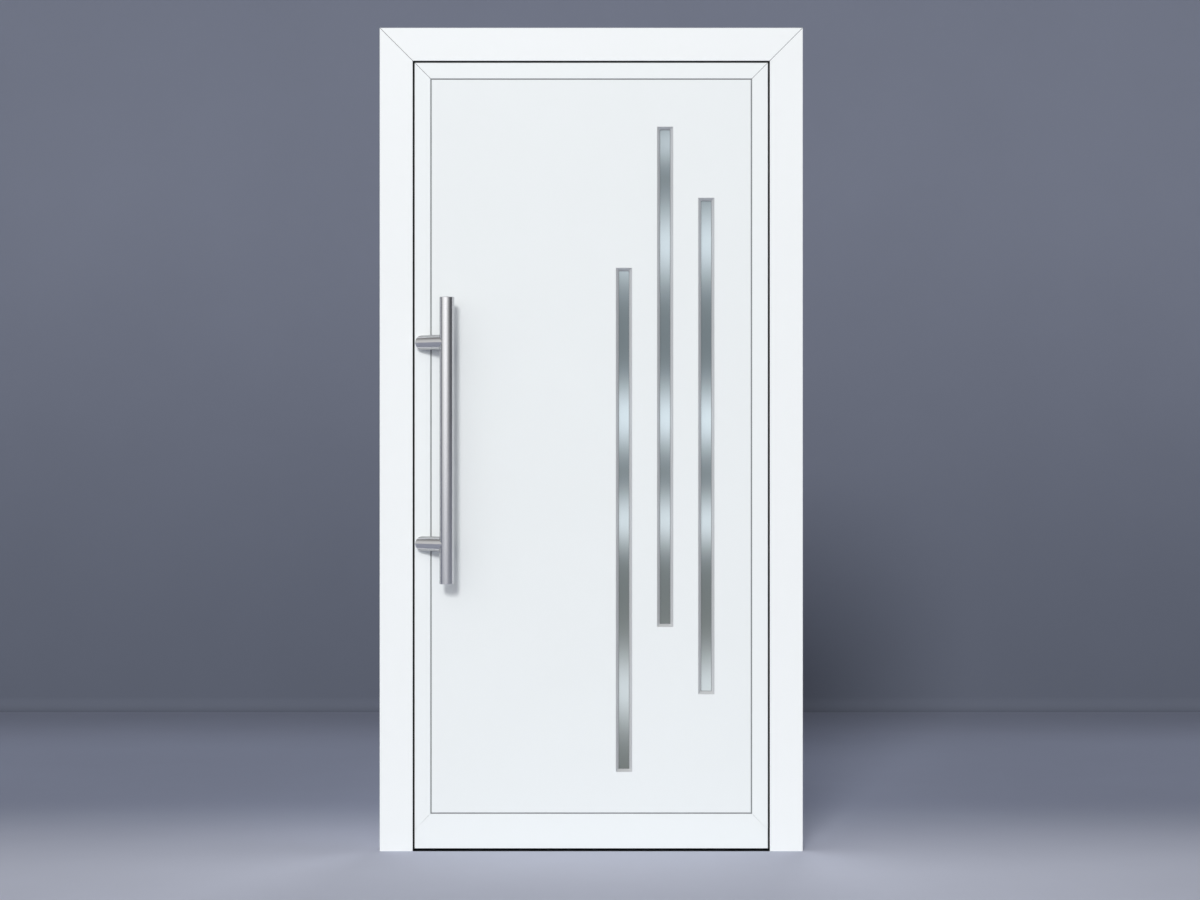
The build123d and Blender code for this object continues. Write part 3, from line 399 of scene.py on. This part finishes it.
def finish_nodes():
    """Give every CAD node its material."""
    for material, names in NODE_FINISHES:
        for name in names:
            slots = NODES[name].data.materials
            slots.clear()
            slots.append(material)


finish_nodes()


# Small parts that the solids leave out

SEALANT_GREY = moulded("sealant_grey", rgba(96, 98, 103), rgba(120, 122, 127), depth=0.15)
GLASS_SEALANT = moulded("glass_sealant", rgba(122, 126, 129), rgba(140, 143, 146), depth=0.15)
SCREW_STEEL = steel("screw_steel", rgba(150, 152, 156), ALL_WAYS, roughness=0.3, depth=0.1)

SEAL_LINING = 0.0005
SEAL_BOTTOM_Z = 0.0022
SEAL_FRONT_Y = OUTSIDE_Y + 0.0014
SEAL_BACK_Y = OUTSIDE_Y + 0.0212
SEAL_ROUNDING = 0.00015
FIN_FRONT_Y = OUTSIDE_Y + 0.0065
FIN_BACK_Y = OUTSIDE_Y + 0.0078
FIN_REACH = 0.0029

EDGE_BREAK = 0.0011
MITRE_START = 1.5 * EDGE_BREAK
MITRE_SUNK = 0.0002
MITRE_HALF_THICK = 0.00026
MITRE_ROUNDING = 0.00008

TRIM_SIGHT = 0.028
TRIM_SHOULDER = 0.0125
GLASS_LINE_WIDTH = 0.0011
GLASS_LINE_THICK = 0.0007
GLASS_LINE_ROUNDING = 0.0002

SCREW_RADIUS = 0.0041
SCREW_THICK = 0.0008
SCREW_SIDES = 24
RECESS_INSET = 0.0023
RECESS_DEPTH = 0.0006
RECESS_WAIST = 0.78
SCREW_ROUNDING = 0.00012

HINGE_FRAME_SCREW_X = 0.507
HINGE_LEAF_SCREW_X = 0.4525
HINGE_PLATE_Y = 0.042
HINGE_SCREW_STEP = 0.042
HINGE_SECOND_ROW = 0.018
FACEPLATE_SCREWS = 5
FACEPLATE_SCREW_MARGIN = 0.02
LOCK_SCREW_SIZE = 0.9
# Middle and half length of each bolt that the strike plates take
STRIKE_BOLTS = ((0.330, 0.030), (0.975, 0.020), (1.060, 0.017), (1.740, 0.030))
STRIKE_SCREW_MARGIN = 0.016
GRUB_SCREW_INSET = 0.019
GRUB_SCREW_OUT = 0.007
GRUB_SCREW_SIZE = 0.62

INDOORS = (0, 1, 0)
RIGHT = (1, 0, 0)
LEFT = (-1, 0, 0)
DOWN = (0, 0, -1)


def soften(piece, width, segments=2, angle=35.0):
    """Round the sharp edges of a piece and shade it smooth."""
    bpy.context.view_layer.objects.active = piece
    bpy.ops.object.modifier_add(type="BEVEL")
    rounding = piece.modifiers[-1]
    rounding.width = width
    rounding.segments = segments
    rounding.limit_method = "ANGLE"
    rounding.angle_limit = math.radians(angle)
    bpy.ops.object.modifier_apply(modifier=rounding.name)
    bpy.ops.object.shade_smooth_by_angle(angle=math.radians(angle))


def finish_piece(piece, width, material, body, segments=2):
    """Round a piece, give it its material and let it ride on a body."""
    soften(piece, width, segments)
    piece.data.materials.append(material)
    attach(piece, body)


def block(name, low, high, turn=0.0):
    """A cube primitive at its size and place, with a turn about Y, its place kept in the mesh."""
    low, high = Vector(low), Vector(high)
    bpy.ops.object.select_all(action="DESELECT")
    bpy.ops.mesh.primitive_cube_add(
        size=1, location=(low + high) / 2, rotation=(0, turn, 0), scale=high - low
    )
    piece = bpy.context.object
    piece.name = name
    bpy.ops.object.transform_apply(location=True, rotation=True, scale=True)
    return piece


def pick_faces(piece, wanted):
    """Select the faces of a piece in edit mode that a test accepts, and return its mesh."""
    bpy.ops.mesh.select_mode(type="FACE")
    bpy.ops.mesh.select_all(action="DESELECT")
    mesh = bmesh.from_edit_mesh(piece.data)
    for face in mesh.faces:
        face.select_set(wanted(face))
    return mesh


def shadow_seal(name, low, high, way):
    """A black rubber lining of the shadow gap with a fin that narrows it; the lining on the lip's face is
    also painted shade that blackens the gap; way is where the fin points.
    """
    piece = block(name, low, high)
    bpy.ops.object.mode_set(mode="EDIT")
    for level in (FIN_FRONT_Y, FIN_BACK_Y):
        bpy.ops.mesh.select_all(action="SELECT")
        bpy.ops.mesh.bisect(plane_co=(0, level, 0), plane_no=(0, 1, 0))

    def on_fin(face):
        return FIN_FRONT_Y < face.calc_center_median().y < FIN_BACK_Y and face.normal.dot(way) > 0.9

    pick_faces(piece, on_fin)
    bpy.ops.mesh.extrude_region_move(TRANSFORM_OT_translate={"value": Vector(way) * FIN_REACH})
    bpy.ops.object.mode_set(mode="OBJECT")
    finish_piece(piece, SEAL_ROUNDING, RUBBER_BLACK, "frame")


def build_shadow_seals():
    """Three lengths in the gap between the frame's lip and the leaf."""
    outer = LIP_INNER_X
    inner = LIP_INNER_X - SEAL_LINING
    reach = inner - FIN_REACH
    lining_z = LIP_LOWER_Z - SEAL_LINING
    for name, left, right, bottom, way in (
        ("lock", -outer, -inner, SEAL_BOTTOM_Z, RIGHT),
        ("hinge", inner, outer, SEAL_BOTTOM_Z, LEFT),
        ("head", -reach, reach, lining_z, DOWN),
    ):
        low = (left, SEAL_FRONT_Y, bottom)
        high = (right, SEAL_BACK_Y, LIP_LOWER_Z)
        shadow_seal(f"shadow_seal_{name}", low, high, way)


def mitre_line(name, body, outer, inner, level, width):
    """A sealing bead along a mitre in a face of the door, from its outer corner to its inner one."""
    run = Vector((inner[0] - outer[0], inner[1] - outer[1]))
    start = Vector(outer) + run.normalized() * MITRE_START
    middle = (start + Vector(inner)) / 2
    half = (Vector(inner) - start).length / 2
    face = level - math.copysign(MITRE_SUNK, level)
    turn = math.atan2(-run.y, run.x)
    low = (middle.x - half, face - MITRE_HALF_THICK, middle.y - width / 2)
    high = (middle.x + half, face + MITRE_HALF_THICK, middle.y + width / 2)
    finish_piece(block(name, low, high, turn), MITRE_ROUNDING, SEALANT_GREY, body, segments=1)


# Corners that the mitres run between, as X and Z on the right side
FRAME_CORNER = (DOOR_WIDTH / 2, DOOR_HEIGHT)
LIP_CORNER = (LIP_INNER_X, LIP_LOWER_Z)
REBATE_CORNER = (FRAME_REBATE_X, FRAME_REBATE_Z)
LEAF_CORNER = (LEAF_EDGE_X, LEAF_TOP_Z)
SIGHT_CORNER = (SIGHT_X, SIGHT_TOP_Z)
COVER_TOP_CORNER = (COVER_LIP_X, COVER_LIP_Z)
BEAD_TOP_CORNER = (BEAD_EDGE_X, BEAD_EDGE_TOP_Z)
BEAD_LOW_CORNER = (BEAD_EDGE_X, BEAD_EDGE_BOTTOM_Z)
COVER_LOW_CORNER = (COVER_LIP_X, BEAD_EDGE_BOTTOM_Z + BEAD_EDGE_X - COVER_LIP_X)
# Name, body, outer and inner corner, face and width of each bead
MITRES = (
    ("frame_mitre_outside", "frame", FRAME_CORNER, LIP_CORNER, OUTSIDE_Y, 0.0013),
    ("frame_mitre_inside", "frame", FRAME_CORNER, REBATE_CORNER, INSIDE_Y, 0.0011),
    ("leaf_mitre_outside_top", "leaf", LEAF_CORNER, SIGHT_CORNER, OUTSIDE_Y, 0.0011),
    ("leaf_mitre_inside_top", "leaf", COVER_TOP_CORNER, BEAD_TOP_CORNER, INSIDE_Y, 0.001),
    ("leaf_mitre_inside_low", "leaf", COVER_LOW_CORNER, BEAD_LOW_CORNER, INSIDE_Y, 0.001),
)


def build_mitre_lines():
    """Sealed mitres of the frame and the leaf, outside and inside, on both sides of the door."""
    for side, hand in ((-1, "lock"), (1, "hinge")):
        for name, body, outer, inner, level, width in MITRES:
            outer = (side * outer[0], outer[1])
            inner = (side * inner[0], inner[1])
            mitre_line(f"{name}_{hand}", body, outer, inner, level, width)


def glass_line(name, low, high, level):
    """A sealing bead round a glass strip, where its trim meets the pane."""
    piece = block(name, (low.x, level - GLASS_LINE_THICK, low.z), (high.x, level, high.z))
    bpy.ops.object.mode_set(mode="EDIT")
    pick_faces(piece, lambda face: abs(face.normal.y) > 0.9)
    bpy.ops.mesh.inset(thickness=GLASS_LINE_WIDTH)
    bpy.ops.mesh.bridge_edge_loops()
    bpy.ops.object.mode_set(mode="OBJECT")
    finish_piece(piece, GLASS_LINE_ROUNDING, GLASS_SEALANT, "leaf")


def build_glass_lines():
    """Outside beads of the three strips; the sight opening is the trim's, less its bevels."""
    for strip in ("left", "middle", "right"):
        low, high = box_of(f"glass_trim_{strip}")
        pane_low, _ = box_of(f"glass_{strip}")
        centre = (low + high) / 2
        half = Vector((TRIM_SIGHT / 2, 0, (high.z - low.z) / 2 - TRIM_SHOULDER))
        glass_line(f"glass_line_{strip}", centre - half, centre + half, pane_low.y)


def screw_head():
    """A flat head with a six-lobed recess, looking up, with its middle at the level of the plate."""
    bpy.ops.object.select_all(action="DESELECT")
    bpy.ops.mesh.primitive_cylinder_add(
        vertices=SCREW_SIDES, radius=SCREW_RADIUS, depth=SCREW_THICK, location=(0, 0, 0)
    )
    head = bpy.context.object
    head.name = "screw_head"
    bpy.ops.object.mode_set(mode="EDIT")
    pick_faces(head, lambda face: face.normal.z > 0.9)
    bpy.ops.mesh.inset(thickness=RECESS_INSET)
    mesh = bmesh.from_edit_mesh(head.data)
    lobes = [face for face in mesh.faces if face.select]
    for corner in lobes[0].verts:
        step = round(math.atan2(corner.co.y, corner.co.x) / math.radians(360 / SCREW_SIDES))
        if step % 4 in (0, 1):
            corner.co.x *= RECESS_WAIST
            corner.co.y *= RECESS_WAIST
    bpy.ops.mesh.extrude_region_move(TRANSFORM_OT_translate={"value": (0, 0, -RECESS_DEPTH)})
    bpy.ops.object.mode_set(mode="OBJECT")
    soften(head, SCREW_ROUNDING, segments=1)
    head.data.materials.append(SCREW_STEEL)
    return head


def place_screws(pattern, name, body, places, way, size=1.0):
    """Copies of a screw head at each place, all facing one way."""
    turn = Vector(way).to_track_quat("Z", "Y").to_matrix().to_4x4()
    for index, place in enumerate(places, start=1):
        screw = pattern.copy()
        screw.data = pattern.data.copy()
        screw.name = f"{name}_{index:02d}"
        bpy.context.scene.collection.objects.link(screw)
        screw.data.transform(Matrix.Translation(place) @ turn @ Matrix.Scale(size, 4))
        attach(screw, body)


def build_hinge_screws(pattern):
    """Five screws in each frame part, in two rows, and three in each leaf part."""
    for level in ("top", "middle", "bottom"):
        low, high = box_of(f"hinge_frame_part_{level}")
        middle = (low.z + high.z) / 2
        steps = (-HINGE_SCREW_STEP, 0, HINGE_SCREW_STEP)
        places = [Vector((HINGE_FRAME_SCREW_X, HINGE_PLATE_Y, middle + step)) for step in steps]
        for step in (HINGE_SCREW_STEP / 2, -HINGE_SCREW_STEP / 2):
            places.append(Vector((HINGE_FRAME_SCREW_X + HINGE_SECOND_ROW, HINGE_PLATE_Y, middle + step)))
        place_screws(pattern, f"hinge_screw_frame_{level}", "frame", places, INDOORS)
        places = [Vector((HINGE_LEAF_SCREW_X, HINGE_PLATE_Y, middle + step)) for step in steps]
        place_screws(pattern, f"hinge_screw_leaf_{level}", "leaf", places, INDOORS)


def build_lock_screws(pattern):
    """Screws along the lock's faceplate, and two in each strike plate."""
    low, high = box_of("lock_faceplate")
    run = high.z - low.z - 2 * FACEPLATE_SCREW_MARGIN
    places = []
    for step in range(FACEPLATE_SCREWS):
        height = low.z + FACEPLATE_SCREW_MARGIN + run * step / (FACEPLATE_SCREWS - 1)
        places.append(Vector((low.x, (low.y + high.y) / 2, height)))
    place_screws(pattern, "faceplate_screw", "leaf", places, LEFT, LOCK_SCREW_SIZE)
    low, high = box_of("strike_plates")
    places = []
    for bolt, half in STRIKE_BOLTS:
        for side in (-1, 1):
            height = bolt + side * (half + STRIKE_SCREW_MARGIN)
            places.append(Vector((high.x, (low.y + high.y) / 2, height)))
    place_screws(pattern, "strike_screw", "frame", places, RIGHT, LOCK_SCREW_SIZE)


def build_grub_screws(pattern):
    """One screw under the foot of each handle support."""
    for level in ("upper", "lower"):
        low, _ = box_of(f"pull_support_{level}")
        foot = Vector((low.x + GRUB_SCREW_INSET, OUTSIDE_Y - GRUB_SCREW_OUT, low.z))
        place_screws(pattern, f"grub_screw_{level}", "leaf", [foot], DOWN, GRUB_SCREW_SIZE)


def build_screws():
    """All the door's screws, as copies of one head."""
    pattern = screw_head()
    build_hinge_screws(pattern)
    build_lock_screws(pattern)
    build_grub_screws(pattern)
    bpy.data.objects.remove(pattern)


build_shadow_seals()
build_mitre_lines()
build_glass_lines()
build_screws()


# Studio: floor, backdrop, lights and camera

# Floor and backdrop colours: the floor fades from pale in front to darker towards the wall, a painted falloff
# of light, and the wall is darker at its foot, painted shade
FLOOR_COLOUR = rgba(205, 209, 225)
FLOOR_BACK_SHADE_COLOUR = rgba(149, 155, 175)
FLOOR_FAR_SHADE_COLOUR = rgba(126, 131, 148)
WALL_FOOT_SHADE_COLOUR = rgba(96, 101, 115)
WALL_COLOUR = rgba(114, 119, 134)
FLOOR_BACK_FROM = -0.45
FLOOR_BACK_TO = 1.05
FLOOR_FAR_FROM = 2.3
WALL_COLOUR_TO = 2.2
SWEEP_Y = 3.7
SWEEP_RADIUS = 0.06
BEND_START = 0.003
SWEEP_HEIGHT = 7.5
SWEEP_REACH = 60.0

BACKDROP_COLOUR = rgba(108, 113, 126)
SKY_COLOUR = rgba(255, 255, 254)
WORLD_BRIGHT_SIDE = (-0.46, -0.86, 0.2)
WORLD_FALLOFF = 2.1
WORLD_GLOW = 1.2
WORLD_AMBIENT = 0.07
KEY_STRENGTH = 1.57
KEY_SOFTNESS = 11.0
KEY_PLACE = (-1.0, -6.8, 4.0)
KEY_COLOUR = (1.0, 0.995, 0.975)
BACK_POWER = 12.0
BACK_PLACE = (0.5, 3.3, 1.5)
BACK_WIDTH = 1.3
BACK_HEIGHT = 2.0
BACK_SPREAD = 60.0

CAMERA_DISTANCE = 7.0
CAMERA_X = 0.0227
CAMERA_Z = 1.0426
CAMERA_LENS = 80.8
CAMERA_SENSOR = 36.0


def clear_from_behind(tree, shader):
    """Make a surface transparent where it is seen from its back."""
    clear = tree.nodes.new("ShaderNodeBsdfTransparent")
    sides = tree.nodes.new("ShaderNodeMixShader")
    seen_from = tree.nodes.new("ShaderNodeNewGeometry")
    tree.links.new(seen_from.outputs["Backfacing"], sides.inputs[0])
    tree.links.new(shader.outputs["BSDF"], sides.inputs[1])
    tree.links.new(clear.outputs["BSDF"], sides.inputs[2])
    tree.links.new(sides.outputs["Shader"], tree.nodes["Material Output"].inputs["Surface"])


def sweep_material():
    """Pale floor that darkens towards a mid-grey backdrop as painted light falloff, with painted shade at the
    wall's foot and faint cloudiness; from behind it is clear.
    """
    material, tree, shader = new_material("studio_sweep")
    place = tree.nodes.new("ShaderNodeTexCoord")
    split = tree.nodes.new("ShaderNodeSeparateXYZ")
    tree.links.new(place.outputs["Object"], split.inputs[0])
    depth, height = split.outputs["Y"], split.outputs["Z"]
    far = ramp(tree, depth, FLOOR_FAR_FROM, SWEEP_Y - SWEEP_RADIUS)
    distant = mix_colours(tree, far, FLOOR_BACK_SHADE_COLOUR, FLOOR_FAR_SHADE_COLOUR)
    ground = mix_colours(tree, ramp(tree, depth, FLOOR_BACK_FROM, FLOOR_BACK_TO), FLOOR_COLOUR, distant)
    wall = mix_colours(tree, ramp(tree, height, 0.0, WALL_COLOUR_TO), WALL_FOOT_SHADE_COLOUR, WALL_COLOUR)
    colour = mix_colours(tree, ramp(tree, height, 0.0, BEND_START), ground, wall)
    clouds = noise(tree, place, Scale=1.1, Detail=5.0, Roughness=0.6).outputs["Fac"]
    tone = math_node(tree, "MULTIPLY_ADD", clouds, 0.12, 0.94)
    tree.links.new(toned(tree, colour, tone), shader.inputs["Base Color"])
    tree.links.new(math_node(tree, "MULTIPLY_ADD", clouds, 0.1, 0.82), shader.inputs["Roughness"])
    shader.inputs["Specular IOR Level"].default_value = 0.0
    clear_from_behind(tree, shader)
    return material


def pick_edges(piece, wanted):
    """Select the edges of a piece in edit mode whose ends a test accepts."""
    bpy.ops.mesh.select_all(action="DESELECT")
    mesh = bmesh.from_edit_mesh(piece.data)
    for edge in mesh.edges:
        edge.select_set(all(wanted(corner.co) for corner in edge.verts))


def build_sweep():
    """One sheet: a level floor that turns up into the backdrop behind the door in a tight bend."""
    bpy.ops.object.select_all(action="DESELECT")
    bpy.ops.mesh.primitive_plane_add(size=2, location=(0, 0, 0))
    sweep = bpy.context.object
    sweep.name = "studio_sweep"
    for corner in sweep.data.vertices:
        corner.co.x *= SWEEP_REACH
        corner.co.y = SWEEP_Y if corner.co.y > 0 else -SWEEP_REACH
    bpy.ops.object.mode_set(mode="EDIT")
    bpy.ops.mesh.select_mode(type="EDGE")
    pick_edges(sweep, lambda place: place.y > 0)
    bpy.ops.mesh.extrude_region_move(TRANSFORM_OT_translate={"value": (0, 0, SWEEP_HEIGHT)})
    pick_edges(sweep, lambda place: place.y > 0 and place.z < 0.01)
    bpy.ops.mesh.bevel(offset=SWEEP_RADIUS, segments=16, affect="EDGES")
    bpy.ops.object.mode_set(mode="OBJECT")
    bpy.ops.object.shade_smooth()
    sweep.data.materials.append(sweep_material())


def place_lamp(lamp, place, target):
    """Put a lamp at a place, facing a point."""
    lamp.location = place
    lamp.rotation_euler = (Vector(target) - Vector(place)).to_track_quat("-Z", "Y").to_euler()
    bpy.context.scene.collection.objects.link(lamp)


def build_key(target):
    """A soft key, high on the front left."""
    data = bpy.data.lights.new("key", "SUN")
    data.energy = KEY_STRENGTH
    data.angle = math.radians(KEY_SOFTNESS)
    data.color = KEY_COLOUR
    place_lamp(bpy.data.objects.new("key", data), KEY_PLACE, target)


def build_inside_lamp(target):
    """A narrow rectangular lamp for the inside face, which the camera doesn't see."""
    data = bpy.data.lights.new("inside", "AREA")
    data.shape = "RECTANGLE"
    data.size = BACK_WIDTH
    data.size_y = BACK_HEIGHT
    data.energy = BACK_POWER
    data.spread = math.radians(BACK_SPREAD)
    lamp = bpy.data.objects.new("inside", data)
    place_lamp(lamp, BACK_PLACE, target)
    lamp.visible_camera = False


def build_world():
    """Studio surroundings: brightest towards the front left, fading to dark on the right."""
    world = bpy.data.worlds.new("studio")
    world.use_nodes = True
    tree = world.node_tree
    place = tree.nodes.new("ShaderNodeTexCoord")
    aim = tree.nodes.new("ShaderNodeVectorMath")
    aim.operation = "DOT_PRODUCT"
    tree.links.new(place.outputs["Generated"], aim.inputs[0])
    aim.inputs[1].default_value = Vector(WORLD_BRIGHT_SIDE).normalized()
    facing = math_node(tree, "MAXIMUM", aim.outputs["Value"], 0.0)
    glow = math_node(tree, "POWER", facing, WORLD_FALLOFF)
    light = math_node(tree, "MULTIPLY_ADD", glow, WORLD_GLOW, WORLD_AMBIENT)
    seen = tree.nodes.new("ShaderNodeLightPath").outputs["Is Camera Ray"]
    unseen = math_node(tree, "SUBTRACT", 1.0, seen)
    sky = tree.nodes["Background"]
    tree.links.new(mix_colours(tree, seen, SKY_COLOUR, BACKDROP_COLOUR), sky.inputs["Color"])
    tree.links.new(math_node(tree, "MULTIPLY_ADD", light, unseen, seen), sky.inputs["Strength"])
    bpy.context.scene.world = world


def build_lights():
    """The key, one lamp for the inside face, and the studio's own glow."""
    middle = (0.0, 0.0, DOOR_HEIGHT / 2)
    build_key(middle)
    build_inside_lamp(middle)
    build_world()


def build_camera():
    """A level camera that frames the door as the photograph does."""
    data = bpy.data.cameras.new("camera")
    data.sensor_width = CAMERA_SENSOR
    data.lens = CAMERA_LENS
    camera = bpy.data.objects.new("camera", data)
    camera.location = (CAMERA_X, OUTSIDE_Y - CAMERA_DISTANCE, CAMERA_Z)
    camera.rotation_euler = (math.radians(90), 0, 0)
    bpy.context.scene.collection.objects.link(camera)
    bpy.context.scene.camera = camera


build_sweep()
build_lights()
build_camera()
bpy.context.scene.view_settings.view_transform = "Standard"
